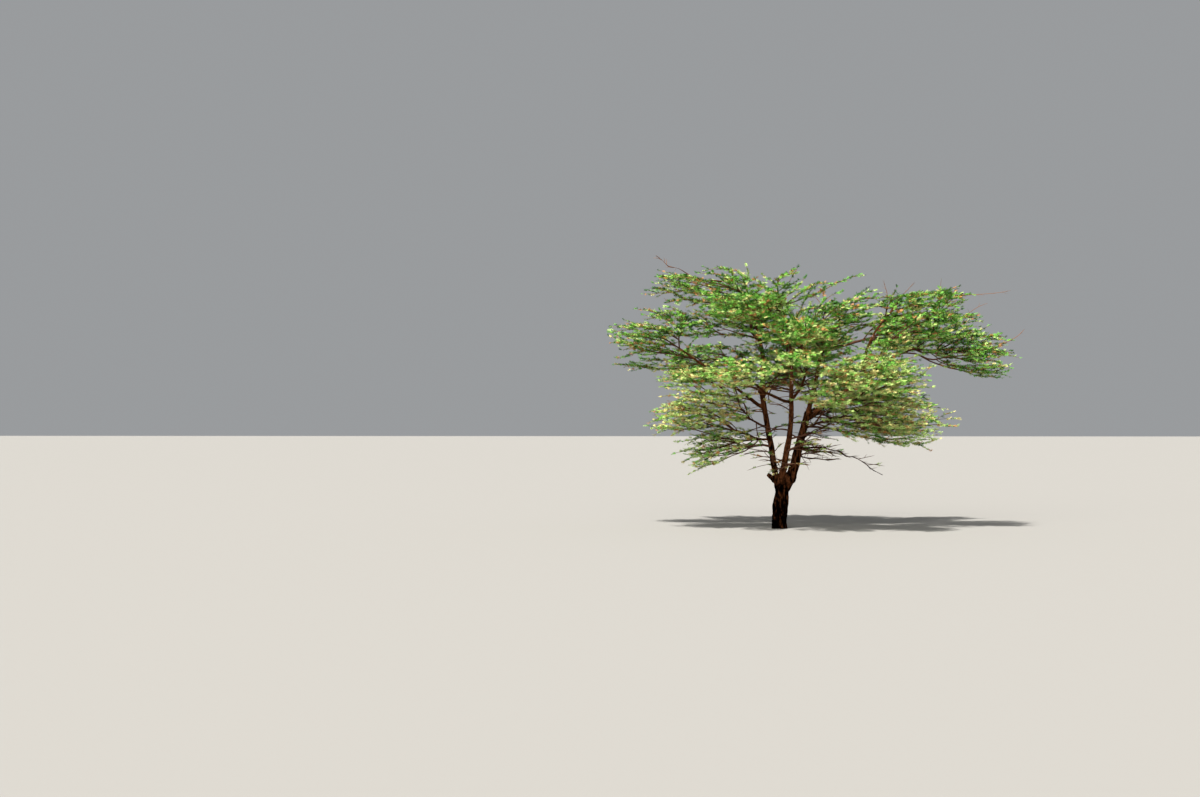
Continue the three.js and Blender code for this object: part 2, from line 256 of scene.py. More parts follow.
# Shoots that stand out of the crown: near which place each starts, its tip, and if it bears leaves.
SHOOTS = (
    ((0.45, -0.3, 4.9), (0.62, -0.35, 5.2), True),
    ((0.9, -0.2, 4.95), (1.15, -0.25, 5.22), True),
    ((1.3, 0.0, 4.95), (1.95, 0.1, 5.32), True),
    ((1.3, 0.55, 5.6), (1.66, 0.6, 5.7), True),
    ((-2.0, -0.3, 5.3), (-2.84, -0.35, 5.24), True),
    ((-1.7, -0.2, 5.1), (-2.4, -0.25, 5.08), True),
    ((2.45, -0.1, 5.1), (2.3, -0.12, 5.55), False),
    ((2.72, -0.1, 5.2), (3.0, -0.12, 5.5), False),
    ((0.97, -0.1, 4.85), (0.77, -0.1, 5.24), False),
    ((4.0, -0.3, 5.1), (5.0, -0.3, 5.24), False),
    ((4.1, -0.8, 4.7), (4.5, -0.9, 4.95), False),
    ((4.9, 0.0, 4.1), (5.38, 0.0, 4.4), False),
    ((4.3, -0.3, 3.6), (5.08, -0.35, 3.52), False),
)
SHOOT_BEND = 0.06
SIDE_SHOOT_CHANCE = 0.6
SIDE_SHOOT_TURN = 0.5
SIDE_SHOOT = (0.06, 0.16)

# The tubes of the twigs: the sides of one that is thinner than each radius, its flare at its foot,
# its point, and how a limb's end tapers away into the twig that carries it on.
TWIG_SIDES = ((0.0085, 3), (0.0155, 4), (math.inf, 6))
FOOT_FLARE = 1.1
POINTED = 0.3
LIMB_END = 0.8
LIMB_END_NODES = 7

# Twigs are dark, and reddish brown where they are young and high in the crown: the reddish brown is
# partly painted sunlight, and the dark of thin twigs lower down is painted shade.
YOUNG_TWIG = 0.0085
SUNLIT_TWIGS_FROM = 2.5
TWIG_COLOURS = {"twig": (0.07, 0.029, 0.016), "shoot": (0.19, 0.078, 0.03)}
TWIG_FINISH = (0.85, 0.1)

# A leaf has pairs of pointed leaflets side by side along a midrib, and MORE_PAIRS is the share of
# leaves with the larger number of them. For the first and last pair: where they sit in shares of the
# leaf's length, their angle from the midrib in degrees, and the part of a wave that sizes follow.
LEAF_LENGTH = 0.085
LEAF_PAIRS = (3, 4)
MORE_PAIRS = 0.5
LEAFLET = (0.046, 0.022)
LEAFLET_RISE = 0.18
LEAFLETS_ALONG = (0.12, 0.82)
LEAFLET_TURN = (74, 40)
LEAFLET_WAVE = (0.25, 0.85)
SMALL_LEAFLET = 0.6

# Where leaves grow: their spacing along a twig, the twig's largest radius, and the clumps, with
# their number to the metre, how strong they are, and the fewest and most leaves against the mean.
LEAF_STEP = 0.0238
LEAFY_RADIUS = 0.0091
CLUMPS = 7.5
CLUMP_STRENGTH = 1.7
CLUMP_LIMITS = (0.25, 2.2)

# How leaves are turned, as mean and spread: their angle from the twig in degrees, and their rise.
# TILT is how far they are turned out of the level. Their sizes vary, and are less on last shoots.
LEAF_ANGLE = (52, 18)
LEAF_RISE = (0.12, 0.28)
TILT = 0.75
LEAF_SIZES = (0.75, 1.2)
TIP_LEAF = 0.8

# Leaf colours, dealt out by spray: a twig and what grows from it, less than SPRAY metres in all.
# ODD_LEAVES is the share of nodes whose leaves have a colour of their own, and RUSTY of rusty ones.
SPRAY = 0.5
ODD_LEAVES = 0.6
RUSTY = 0.09
LEAF_FINISH = (0.6, 0.15)
LEAF_COLOURS = {
    "leaf_deep": (0.030, 0.110, 0.014),
    "leaf_green": (0.125, 0.330, 0.043),
    "leaf_bright": (0.350, 0.500, 0.145),
    "leaf_yellow": (0.500, 0.465, 0.175),
    "leaf_rust": (0.380, 0.185, 0.060),
}

# The most faces in one piece of leaves.
PIECE_FACES = 190_000

# The shares of the first four leaf colours in shade, in the sun, and in the sun low down. The lighter,
# yellower leaves where the sun falls are painted sunlight, and the darker ones elsewhere painted shade.
PAINTED_SHADE = (0.3, 0.45, 0.2, 0.05)
SUN = (0.12, 0.2, 0.46, 0.22)
PAINTED_LOW_SUN = (0.06, 0.12, 0.52, 0.3)

# Where the painted sunlight starts to show and where it is full: on the sprays low down, across from
# the hub, in depth, and in height.
SUNNY_LOW = (3.2, 2.7)
SUNNY_ACROSS = (3.4, 2.7)
SUNNY_DEPTH = (1.4, -0.8)
SUNNY_HEIGHT = (4.4, 3.2)


# Arrays and meshes


def points_of(mesh):
    """A mesh's points as an array."""
    points = np.empty(len(mesh.vertices) * 3)
    mesh.vertices.foreach_get("co", points)
    return points.reshape(-1, 3)


def triangles_of(mesh):
    """The numbers of the points of each of a mesh's triangles."""
    mesh.calc_loop_triangles()
    corners = np.empty(len(mesh.loop_triangles) * 3, np.int32)
    mesh.loop_triangles.foreach_get("vertices", corners)
    return corners.reshape(-1, 3)


def unit(vectors):
    """The same directions, each one metre long."""
    lengths = np.linalg.norm(vectors, axis=-1, keepdims=True)
    return vectors / np.maximum(lengths, 1e-9)


def fade(values, start, full):
    """0 up to where something starts, 1 from where it is full, and in between evenly."""
    return np.clip((values - start) / (full - start), 0, 1)


def distances(line):
    """How far along a line each of its points lies."""
    return np.append(0, np.cumsum(np.linalg.norm(np.diff(line, axis=0), axis=1)))


def lookup(places):
    """A tree that finds the nearest of these places, each known by its number."""
    tree = kdtree.KDTree(len(places))
    for number, place in enumerate(places):
        tree.insert(place, number)
    tree.balance()
    return tree


def make_mesh(name, points, faces, smooth=False):
    """A mesh from arrays, whose faces all have as many corners."""
    mesh = bpy.data.meshes.new(name)
    mesh.vertices.add(len(points))
    mesh.vertices.foreach_set("co", np.asarray(points, np.float32).ravel())
    mesh.loops.add(faces.size)
    mesh.loops.foreach_set("vertex_index", np.asarray(faces, np.int32).ravel())
    mesh.polygons.add(len(faces))
    mesh.polygons.foreach_set("loop_start", np.arange(0, faces.size, faces.shape[1], dtype=np.int32))
    mesh.polygons.foreach_set("use_smooth", np.full(len(faces), smooth))
    mesh.update(calc_edges=True)
    return mesh


def make_piece(name, mesh, slot, *materials):
    """A finished piece of the tree, which rides on its one body."""
    piece = bpy.data.objects.new(name, mesh)
    bpy.context.scene.collection.objects.link(piece)
    for material in materials:
        mesh.materials.append(material)
    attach(piece, "root")
    return piece


def join(parts):
    """One pair of arrays from many (points, faces) pairs."""
    starts = np.cumsum([0] + [len(points) for points, _ in parts[:-1]])
    points = np.vstack([points for points, _ in parts])
    faces = np.vstack([faces + start for (_, faces), start in zip(parts, starts)])
    return points, faces


# Limbs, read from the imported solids


def outline_at(corners, heights, level):
    """The centre and radius of the outline where a plane cuts a solid, or None."""
    above = heights > level
    cut = above.any(1) & ~above.all(1)
    if not cut.any():
        return None
    corners, heights, above = corners[cut], heights[cut], above[cut]
    lone = np.argmax(above == (above.sum(1) == 1)[:, None], axis=1)
    row = np.arange(len(lone))
    ends = []
    for step in (1, 2):
        other = (lone + step) % 3
        share = (level - heights[row, lone]) / (heights[row, other] - heights[row, lone])
        start = corners[row, lone]
        ends.append(start + share[:, None] * (corners[row, other] - start))
    lengths = np.linalg.norm(ends[0] - ends[1], axis=1)
    centre = ((ends[0] + ends[1]) / 2 * lengths[:, None]).sum(0) / lengths.sum()
    return centre, lengths.sum() / (2 * math.pi)


def centre_line(name, upright=False):
    """A limb's centre line and radii, from its thick end to its thin one."""
    mesh = frame["nodes"][name].data
    points = points_of(mesh)
    corners = points[triangles_of(mesh)]
    middle = points.mean(0)
    axis = UP if upright else np.linalg.svd(points - middle, full_matrices=False)[2][0]
    heights = (corners - middle) @ axis
    low, high = heights.min(), heights.max()
    count = max(FEWEST_CUTS, int((high - low) / CUT_EVERY))
    cuts = [outline_at(corners, heights, low + (high - low) * (i + 0.5) / count) for i in range(count)]
    cuts = [cut for cut in cuts if cut]
    line = np.array([centre for centre, _ in cuts])
    radii = np.array([radius for _, radius in cuts])
    third = count // 3 + 1
    if not upright and radii[:third].mean() < radii[-third:].mean():
        line, radii = line[::-1], radii[::-1]
    lean = abs(unit(np.gradient(line, axis=0)) @ axis)
    radii = radii * (1 + lean) / 2
    tip = line[-1] + unit(line[-1] - line[-2]) * (high - low) / count / 2
    return np.vstack((line, tip)), np.append(radii, radii[-1] * END_TAPER)


def resampled(line, radii, step, rounds=3):
    """The same line through evenly spaced points, rounded where it bends."""
    lengths = distances(line)
    places = np.linspace(0, lengths[-1], max(3, int(lengths[-1] / step) + 1))
    line = np.stack([np.interp(places, lengths, line[:, i]) for i in range(3)], axis=1)
    radii = np.interp(places, lengths, radii)
    for _ in range(rounds):
        line[1:-1] = line[1:-1] / 2 + (line[:-2] + line[2:]) / 4
    return line, radii


def crooked(line, radii, thin):
    """The same limb, bent this way and that beyond its foot. A thin one is knobbly as well."""
    grown = fade(np.arange(len(line)) * STATION, 0, CROOK_FADE)
    bends = np.array([noise.noise_vector((place / CROOK_EVERY[thin]).tolist()) for place in line])
    knobs = np.array([noise.noise((place / KNOBBLY_EVERY).tolist()) for place in line])
    return line + CROOK[thin] * grown[:, None] * bends, radii * (1 + KNOBBLY * thin * knobs)


def all_limbs():
    """Each limb's line and radii by name, begun inside the limb that carries it."""
    lines = {name: centre_line(name, upright=name == "trunk") for name in LIMBS}
    limbs = {"trunk": resampled(*lines.pop("trunk"), STATION)}
    while lines:
        placed = np.vstack([line for line, _ in limbs.values()])
        gaps = {name: np.linalg.norm(placed - lines[name][0][0], axis=1) for name in lines}
        name = min(lines, key=lambda n: gaps[n].min())
        line, radii = lines.pop(name)
        line = np.vstack((placed[gaps[name].argmin()], line))
        line, radii = resampled(line, np.append(radii[0], radii), STATION)
        limbs[name] = crooked(line, radii, name in THIN_LIMBS)
    return limbs


# The skin of bark


def rings(line, radii, sides):
    """The points round a line, and the two directions across it at each place."""
    ahead = unit(np.gradient(line, axis=0))
    side = np.cross(ahead[0], UP if abs(ahead[0, 2]) < NEARLY_UPRIGHT else (1.0, 0.0, 0.0))
    turns = np.arange(sides) * 2 * math.pi / sides
    cosines, sines = np.cos(turns)[:, None], np.sin(turns)[:, None]
    points, sideways, across = [], [], []
    for i in range(len(line)):
        side = side - ahead[i] * (side @ ahead[i])
        side = side / np.linalg.norm(side)
        over = np.cross(ahead[i], side)
        points.append(line[i] + (cosines * side + sines * over) * radii[i])
        sideways.append(side)
        across.append(over)
    return np.array(points), np.array(sideways), np.array(across)


def tube(line, radii, sides):
    """The points and quads of a tube round a line."""
    points = rings(line, radii, sides)[0].reshape(-1, 3)
    start = np.arange(len(line) - 1)[:, None] * sides
    around = np.arange(sides)[None]
    after = (around + 1) % sides
    quads = np.stack((start + around, start + after, start + sides + after, start + sides + around), -1)
    return points, quads.reshape(-1, 4)


def closed_tube(line, radii):
    """A tube in triangles with both ends closed."""
    points, quads = tube(line, radii, SKIN_SIDES)
    faces = [quads[:, (0, 1, 2)], quads[:, (0, 2, 3)]]
    around = np.arange(SKIN_SIDES)
    after = (around + 1) % SKIN_SIDES
    last = len(points) - SKIN_SIDES
    foot = np.full(SKIN_SIDES, len(points))
    faces.append(np.stack((after, around, foot), 1))
    faces.append(np.stack((last + around, last + after, foot + 1), 1))
    return np.vstack((points, line[0], line[-1])), np.vstack(faces)


def merged_wood(limbs):
    """The trunk's own solid and a tube for each limb, run together under one smooth skin."""
    trunk = frame["nodes"]["trunk"].data
    points = points_of(trunk)
    points[points[:, 2] < AT_GROUND, 2] = -BELOW_GROUND
    points[:, 2] = np.minimum(points[:, 2], TRUNK_TOP)
    parts = [(points, triangles_of(trunk))]
    parts += [closed_tube(*limb) for name, limb in limbs.items() if name not in ("trunk", *THIN_LIMBS)]
    parts.append(closed_tube(*resampled(np.array(KNOB), np.array(KNOB_RADII), STATION / 2)))
    rough = bpy.data.objects.new("rough", make_mesh("rough", *join(parts)))
    bpy.context.scene.collection.objects.link(rough)
    remesh = rough.modifiers.new("remesh", "REMESH")
    remesh.mode = "VOXEL"
    remesh.voxel_size = SKIN_VOXEL
    smooth = rough.modifiers.new("smooth", "SMOOTH")
    smooth.factor = 0.5
    smooth.iterations = 3
    made = rough.evaluated_get(bpy.context.evaluated_depsgraph_get())
    mesh = bpy.data.meshes.new_from_object(made)
    bpy.data.objects.remove(rough)
    return mesh


def cut_at_ground(mesh):
    """Cuts the wood flat at the ground and closes the cut."""
    shape = bmesh.new()
    shape.from_mesh(mesh)
    everything = shape.verts[:] + shape.edges[:] + shape.faces[:]
    cut = bmesh.ops.bisect_plane(
        shape, geom=everything, plane_co=(0, 0, 0), plane_no=(0, 0, 1), clear_inner=True
    )
    rim = [part for part in cut["geom_cut"] if isinstance(part, bmesh.types.BMEdge)]
    bmesh.ops.edgeloop_fill(shape, edges=rim)
    shape.to_mesh(mesh)
    shape.free()


def with_thin_limbs(mesh, limbs):
    """The skin with the limbs that are too thin to be run together with it."""
    parts = [(points_of(mesh), triangles_of(mesh))]
    parts += [closed_tube(*limbs[name]) for name in THIN_LIMBS]
    return make_mesh("wood", *join(parts), smooth=True)


def bark_places(points, limbs):
    """Each point's place in the pattern of fissures, which runs along its nearest limb, and the
    radius of the limb there."""
    stations, sideways, across, along, thick = [], [], [], [], []
    for line, radii in limbs.values():
        _, side, over = rings(line, radii, SKIN_SIDES)
        stations += line.tolist()
        sideways += side.tolist()
        across += over.tolist()
        along += (distances(line) + LIMB_SHIFT * len(stations)).tolist()
        thick += radii.tolist()
    tree = lookup(stations)
    nearest = np.array([tree.find(point)[1] for point in points.tolist()])
    offset = points - np.array(stations)[nearest]
    sideways, across = np.array(sideways)[nearest], np.array(across)[nearest]
    radius = np.array(thick)[nearest]
    wide = FISSURE[0] * np.clip(radius / CLOSER_UNDER, CLOSEST, 1.0)
    places = (
        (offset * sideways).sum(1) / wide,
        (offset * across).sum(1) / wide,
        (np.array(along)[nearest] + (offset * np.cross(sideways, across)).sum(1)) / FISSURE[1],
    )
    return np.stack(places, axis=1).tolist(), radius


def relieve(mesh, limbs):
    """Cuts long fissures between plates of bark, which run along each limb, and swells the wood."""
    points = points_of(mesh)
    normals = np.empty(len(points) * 3)
    mesh.vertices.foreach_get("normal", normals)
    places, radius = bark_places(points, limbs)
    crack = np.array([abs(noise.noise(place)) for place in places])
    lumps = np.array([noise.noise([p * LUMP_SCALE for p in place]) for place in places])
    swell = np.array([noise.noise([p / SWELL_EVERY for p in point]) for point in points.tolist()])
    cut = CUT_DEPTH * np.clip(1 - crack / CUT_WIDTH, 0, 1) ** CUT_EDGE
    depth = np.minimum(FISSURE_MOST, FISSURE_DEPTH * radius)
    push = depth * (lumps * PLATE_LUMPS + PLATE_HEIGHT - cut)
    push += SWELL * fade(radius, 0, SWELL_FROM) * swell
    moved = points + normals.reshape(-1, 3) * push[:, None]
    moved[:, 2] = np.where(points[:, 2] < AT_GROUND, 0, np.maximum(moved[:, 2], 0))
    mesh.vertices.foreach_set("co", moved.astype(np.float32).ravel())
    mesh.update()


def on_red_stem(mesh, limbs):
    """For each face, 1 where the middle stem is the nearest limb and 0 elsewhere."""
    is_red = [name == "middle_stem" for name, (line, _) in limbs.items() for _ in line]
    tree = lookup([place for line, _ in limbs.values() for place in line])
    places = [face.center + BLUR * noise.noise_vector(face.center / BLUR) for face in mesh.polygons]
    return np.array([is_red[tree.find(place)[1]] for place in places], np.int32)


def make_skin(limbs):
    """The bark of the trunk, stems and boughs, in place of their solids."""
    wood = merged_wood(limbs)
    cut_at_ground(wood)
    wood = with_thin_limbs(wood, limbs)
    relieve(wood, limbs)
    barks = [bark_material("bark", 0), bark_material("red_bark", RED_STEM)]
    skin = make_piece("trunk_and_boughs", wood, "bark", *barks)
    wood.polygons.foreach_set("material_index", on_red_stem(wood, limbs))
    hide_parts(*LIMBS)


# The network of wood and twigs


class Network:
    """Stations of the limbs and nodes of the twigs. Each has a place, a heading, the node that it
    grows from, its way back to the foot of the trunk, the mass whose leaves it bears, if any,
    and, on a limb, the limb's radius. A node always comes after the one that it grows from."""

    def __init__(self):
        self.place, self.ahead, self.parent, self.way, self.mass, self.wood = [], [], [], [], [], []

    def add(self, place, parent, mass=NONE, wood=0.0, ahead=None):
        """Adds a node and gives its number."""
        start = place if parent == NONE else self.place[parent]
        step = [b - a for a, b in zip(start, place)]
        length = math.hypot(*step)
        self.place.append(tuple(place))
        self.ahead.append(tuple(ahead) if ahead is not None else tuple(s / (length + 1e-9) for s in step))
        self.parent.append(parent)
        self.way.append(0.0 if parent == NONE else self.way[parent] + length)
        self.mass.append(mass)
        self.wood.append(wood)
        return len(self.place) - 1


def wooden_network(limbs):
    """The network's first nodes, the stations of the limbs, and the first node of each limb."""
    network = Network()
    first = {}
    for name, (line, radii) in limbs.items():
        at = NONE
        if network.place:
            at = int(np.linalg.norm(np.array(network.place) - line[0], axis=1).argmin())
        first[name] = len(network.place)
        headings = unit(np.gradient(line, axis=0))
        for place, radius, heading in zip(line.tolist(), radii.tolist(), headings.tolist()):
            at = network.add(place, at, wood=radius, ahead=heading)
    return network, first


def columns_through(name, random):
    """Upright lines through a mass, nearly on a grid: x, y, and where each enters and leaves it."""
    mesh = frame["nodes"][name].data
    points = points_of(mesh)
    solid = BVHTree.FromPolygons(points.tolist(), triangles_of(mesh).tolist())
    low, high = points.min(0), points.max(0)
    under, over = low[2] - 1, high[2] + 1
    columns = []
    for x in np.arange(low[0], high[0], SPACING):
        for y in np.arange(low[1], high[1], SPACING):
            at_x, at_y = (x, y) + random.uniform(-JITTER, JITTER, 2) * SPACING
            bottom = solid.ray_cast((at_x, at_y, under), (0, 0, 1))[0]
            top = solid.ray_cast((at_x, at_y, over), (0, 0, -1))[0]
            if bottom and top and top.z - bottom.z > THINNEST:
                columns.append((at_x, at_y, bottom.z, top.z))
    return columns


def layered_points(name, random):
    """Points in thin layers through a mass, broken into sprays that run outwards from the hub."""
    columns = columns_through(name, random)
    thickest = max(top - bottom for _, _, bottom, top in columns)
    hang = UNDERHANG * min(1, thickest / THICK_MASS) ** 2
    found = []
    for x, y, bottom, top in columns:
        rim = 1 - (top - bottom) / thickest
        least = OPEN_INSIDE + (OPEN_AT_RIM - OPEN_INSIDE) * rim**2
        turn = math.atan2(y - HUB[1], x - HUB[0])
        out = math.hypot(x - HUB[0], y - HUB[1])
        room = top - bottom + hang * (1 - rim) - RIM_DEPTH
        gaps = int(room / LAYER)
        for layer in range(gaps + 1):
            z = top - RIM_DEPTH - room * (layer / gaps if gaps else 0.5)
            if noise.noise((turn * STREAK[0], out * STREAK[1], z * STREAK[2])) > least:
                found.append((x, y, z + random.normal(0, UNEVEN)))
    return found


def grow(network, targets, masses, bare, random):
    """Joins every target to the network by the cheapest way, the cheapest target first. Nothing
    grows on the bare nodes."""
    tree = lookup([(x, y, z * LEVEL) for x, y, z in targets])
    waiting = [True] * len(targets)
    cheapest = [math.inf] * len(targets)
    queue = []

    def offer(i):
        """Queues the ways from one node to the targets round it."""
        px, py, pz = network.place[i]
        hx, hy, hz = network.ahead[i]
        base = THRIFT * network.way[i]
        for _, j, _ in tree.find_n((px, py, pz * LEVEL), REACH):
            if not waiting[j]:
                continue
            qx, qy, qz = targets[j]
            dx, dy, dz = qx - px, qy - py, qz - pz
            gap = math.sqrt(dx * dx + dy * dy + dz * dz) + 1e-6
            turn = max(0.0, EASY_TURN - (dx * hx + dy * hy + dz * hz) / gap)
            cost = base + gap * (1 + (LEVEL - 1) * abs(dz) / gap) * (1 + TURN * turn)
            if cost < cheapest[j]:
                cheapest[j] = cost
                heapq.heappush(queue, (cost, i, j))

    for i in range(len(network.place)):
        if i not in bare:
            offer(i)
    for _ in range(len(targets)):
        while queue and not waiting[queue[0][2]]:
            heapq.heappop(queue)
        i, j = heapq.heappop(queue)[1:] if queue else nearest_pair(network, targets, waiting)
        waiting[j] = False
        for at in add_twig(network, i, targets[j], masses[j], random):
            offer(at)


def nearest_pair(network, targets, waiting):
    """The node and the waiting target that lie closest, where no neighbour could reach it."""
    lost = [j for j, left in enumerate(waiting) if left]
    places = np.array(network.place)
    gaps = [np.linalg.norm(places - targets[j], axis=1) for j in lost]
    best = min(range(len(lost)), key=lambda row: gaps[row].min())
    return int(gaps[best].argmin()), lost[best]


def add_twig(network, start, end, mass, random):
    """Adds the nodes of a twig from one node to a place, bent a little if it is long."""
    from_place, end = np.array(network.place[start]), np.array(end)
    length = np.linalg.norm(end - from_place)
    count = max(1, math.ceil(length / LONGEST))
    bend = random.normal(0, BEND, 3) * length * (count > 2)
    added = []
    for k in range(1, count + 1):
        share = k / count
        place = from_place + (end - from_place) * share + bend * math.sin(share * math.pi)
        bears = mass if length < FEEDER or k == count else NONE
        start = network.add(place.tolist(), start, bears)
        added.append(start)
    return added


def fill_masses(network, limbs, first, random):
    """Grows twigs all through the masses. Nothing grows on the thin, bare limbs."""
    targets, masses = [], []
    for number, name in enumerate(MASSES):
        found = layered_points(name, random)
        targets += found
        masses += [number] * len(found)
    bare = {first[name] + i for name in THIN_LIMBS for i in range(len(limbs[name][0]))}
    grow(network, targets, masses, bare, random)


def nearest_mass(place):
    """The number of the mass whose middle is nearest."""
    return int(np.linalg.norm(MIDDLES - place, axis=1).argmin())


def sprout(network, start, heading, length, mass, random):
    """Adds a thin branch, bent a little and drawn level, which forks and has leaves near its end."""
    steps = max(2, int(length / BARE_STEP))
    for k in range(steps):
        heading = unit(heading * (1, 1, BARE_LEVEL) + random.normal(0, BARE_WANDER, 3))
        bears = mass if k > steps * BARE_INNER and random.random() < BARE_LEAFY else NONE
        start = network.add((np.array(network.place[start]) + heading * BARE_STEP).tolist(), start, bears)
        if k and length > FORK_FROM and random.random() < FORK_CHANCE:
            turn = random.choice((-1, 1)) * random.uniform(*FORK_TURN)
            aside = heading + turn * np.cross(heading, UP) + UP * random.normal(0, FORK_RISE)
            rest = length * (1 - k / steps)
            sprout(network, start, unit(aside), rest * random.uniform(*FORK_LENGTH), mass, random)


def bare_branches(network, limbs, first, random):
    """Thin branches off the sides of every stem and bough."""
    for name, (line, _) in limbs.items():
        kind = name.split("_")[-1]
        if kind not in BARE_EVERY:
            continue
        for i in range(2, len(line)):
            inside = BARE_HEIGHTS[0] < line[i][2] < BARE_HEIGHTS[1] or kind == "twig"
            if not inside or random.random() > STATION / BARE_EVERY[kind]:
                continue
            start = first[name] + i
            turn = random.uniform(0, 2 * math.pi)
            aside = np.array((math.cos(turn), math.sin(turn), random.normal(*BARE_RISE)))
            out = BARE_OUTWARD * unit((line[i] - HUB) * (1, 1, 0))
            heading = unit(aside + out + BARE_ONWARD * np.array(network.ahead[start]))
            least, most = BARE_LENGTH[kind]
            length = least + (most - least) * random.random() ** MORE_SHORT
            mass = nearest_mass(line[i] + heading * length) if kind != "twig" else NONE
            sprout(network, start, heading, length, mass, random)


def add_shoots(network, random):
    """The shoots that stand out of the crown, each from the nearest twig."""
    for start, tip, leafy in SHOOTS:
        places = np.array(network.place)
        at = int(np.linalg.norm(places - start, axis=1).argmin())
        begin, tip = places[at], np.array(tip)
        length = np.linalg.norm(tip - begin)
        steps = max(2, round(length / TIP_STEP))
        bend = random.normal(0, SHOOT_BEND, 3) * length
        for k in range(1, steps + 1):
            share = k / steps
            place = begin + (tip - begin) * share + bend * math.sin(share * math.pi)
            mass = nearest_mass(place) if leafy else NONE
            at = network.add(place.tolist(), at, mass)
            if k < steps and random.random() < SIDE_SHOOT_CHANCE:
                aside = unit(unit(tip - begin) + random.normal(0, SIDE_SHOOT_TURN, 3))
                side = place + aside * random.uniform(*SIDE_SHOOT)
                network.add(side.tolist(), at, mass)


def add_tips(network, random):
    """Carries every last twig on outwards, a long way where the air ahead is open."""
    tree = lookup(network.place)
    has_child = set(network.parent)
    low, high = (np.array(corner) for corner in cad_box)
    for i in range(len(network.place)):
        if i in has_child or network.wood[i] or network.mass[i] == NONE:
            continue
        place = np.array(network.place[i])
        out = unit((place - HUB) * (1, 1, RISE if place[2] > HUB[2] else DROOP))
        ahead = np.array(network.ahead[i]) * (1, 1, FLATTER)
        heading = unit(ahead + OUTWARD * out + random.normal(0, FIRST_WANDER, 3))
        is_open = tree.find((place + heading * PROBE).tolist())[2] > CLEAR
        length = random.uniform(*(LONG_TIP if is_open else SHORT_TIP))
        steps = max(1, round(length / TIP_STEP))
        at = i
        for _ in range(steps):
            heading = unit(heading + random.normal(0, TIP_WANDER, 3))
            place = np.clip(place + heading * length / steps, low - OUTSIDE_CAD, high + OUTSIDE_CAD)
            at = network.add(place.tolist(), at, network.mass[i])


def weigh(network):
    """Each node's length of twig beyond it, its heaviest child, if any, and its radius."""
    count = len(network.place)
    load = np.zeros(count)
    flow = np.zeros(count)
    heaviest = np.full(count, NONE)
    for i in reversed(range(count)):
        flow[i] = max(flow[i], TIP_RADIUS**PIPE) + GROWTH**PIPE
        if network.wood[i]:
            continue
        p = network.parent[i]
        load[i] += network.way[i] - network.way[p]
        flow[p] += flow[i]
        load[p] += load[i]
        if heaviest[p] == NONE or load[i] > load[heaviest[p]]:
            heaviest[p] = i
    radius = flow ** (1 / PIPE)
    for i in range(count):
        if network.wood[i]:
            radius[i] = network.wood[i]
        elif network.wood[network.parent[i]]:
            radius[i] = min(radius[i], MOST_ON_LIMB * network.wood[network.parent[i]])
        else:
            radius[i] = min(radius[i], radius[network.parent[i]])
    return load, heaviest, radius


def smoothed(network, heaviest, rounds=5):
    """The nodes' places once the twigs have been drawn straighter between their forks and tips."""
    places = np.array(network.place)
    parent = np.array(network.parent)
    loose = np.flatnonzero((np.array(network.wood) == 0) & (heaviest != NONE))
    for _ in range(rounds):
        goal = (places[parent[loose]] + places[heaviest[loose]]) / 2
        places[loose] = (places[loose] + goal) / 2
    return places


# Twigs as a mesh


def twig_chain(network, heaviest, forks, start):
    """The nodes from a twig's foot to its tip, without every other one where nothing forks."""
    chain = [network.parent[start], start]
    while heaviest[chain[-1]] != NONE:
        chain.append(int(heaviest[chain[-1]]))
    last = len(chain) - 1
    return [n for k, n in enumerate(chain) if k in (0, 1, last) or forks[n] > 1 or k % 2]


def twig_radii(network, heaviest, radius, chain):
    """A twig's radii along its chain. The one that carries on a limb's end tapers from its radius."""
    foot = chain[0]
    thick = radius[chain]
    thick[0] = min(thick[0], thick[1] * FOOT_FLARE)
    limb_ends = network.wood[foot] and network.parent[foot + 1] != foot
    if limb_ends and chain[1] == heaviest[foot]:
        taper = np.linspace(1, 1 - len(chain) / LIMB_END_NODES, len(chain))
        thick = np.maximum(thick, network.wood[foot] * LIMB_END * taper)
    thick[-1] *= POINTED
    return thick


def twig_tubes(network, places, heaviest, radius):
    """A tapering tube for every twig, from its fork to its tip, and which of the faces are young and high
    enough for the painted sunlit colour.
    """
    carries_on = set(heaviest[heaviest != NONE].tolist())
    forks = np.bincount(network.parent[1:], minlength=len(places))
    parts, young = [], []
    for i in range(len(places)):
        if network.wood[i] or (i in carries_on and not network.wood[network.parent[i]]):
            continue
        chain = twig_chain(network, heaviest, forks, i)
        thick = twig_radii(network, heaviest, radius, chain)
        sides = next(sides for most, sides in TWIG_SIDES if thick[1] < most)
        parts.append(tube(places[chain], thick, sides))
        # Thin twigs high in the crown get the reddish colour as painted sunlight; lower ones stay dark as
        # painted shade.
        young_and_sunlit = (thick[:-1] < YOUNG_TWIG) & (places[chain[:-1], 2] > SUNLIT_TWIGS_FROM)
        young.append(np.repeat(young_and_sunlit, sides))
    return *join(parts), np.concatenate(young)


def make_twigs(network, places, heaviest, radius):
    """All twigs as one piece, dark or reddish brown: the reddish brown of thin twigs high up is partly
    painted sunlight, and the dark of thin twigs low down is painted shade.
    """
    points, faces, young = twig_tubes(network, places, heaviest, radius)
    mesh = make_mesh("twigs", points, faces, smooth=True)
    materials = [plain_material(name, colour, *TWIG_FINISH) for name, colour in TWIG_COLOURS.items()]
    make_piece("twigs", mesh, "bark", *materials)
    mesh.polygons.foreach_set("material_index", young.astype(np.int32))


# Leaves as meshes


